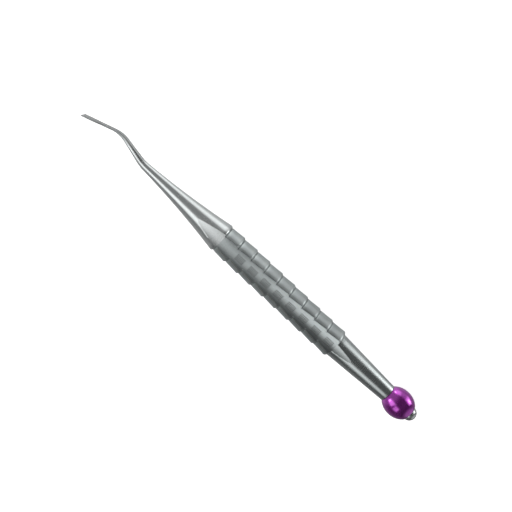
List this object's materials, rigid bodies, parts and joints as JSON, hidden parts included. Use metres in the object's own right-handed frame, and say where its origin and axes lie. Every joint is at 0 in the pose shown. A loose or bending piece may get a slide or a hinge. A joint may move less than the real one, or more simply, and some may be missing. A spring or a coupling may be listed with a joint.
{
  "type": "dental elevator",
  "caption": "Dental elevator with a bent flat blade on a round cone, a stepped grip with milled flats and a ball end that turns in the palm.",
  "frame": {"origin": "centre of the object's box, on the handle's axis", "axes": "+X along the handle towards the ball, blade at -X; +Z out of the upper milled flat; the blade bends in the XY plane and its second bend is on the +Y side"},
  "size_m": [0.1707, 0.012, 0.0116],
  "materials": {
    "polished_steel": "polished stainless steel",
    "satin_steel": "satin stainless steel, finely blasted",
    "rear_steel": "finely turned and polished stainless steel",
    "purple_metal": "gloss purple anodised aluminium",
    "bush_bronze": "turned bearing bronze",
    "bearing_polymer": "natural bearing polymer",
    "silicone": "matt silicone"
  },
  "bodies": {
    "handle": {"working_end": "polished_steel", "front_seal": "silicone", "grip_body": "satin_steel", "rear_seal": "silicone", "rear_cone": "rear_steel", "ball_axle": "polished_steel", "front_washer": "bearing_polymer", "rear_washer": "bearing_polymer", "end_button": "polished_steel"},
    "ball": {"palm_ball": "purple_metal", "ball_bush": "bush_bronze"}
  },
  "joints": [
    {"name": "ball_spin", "type": "hinge", "parent": "handle", "child": "ball", "pos_m": [0.07675, 0, 0], "axis": [1, 0, 0], "continuous": true}
  ]
}
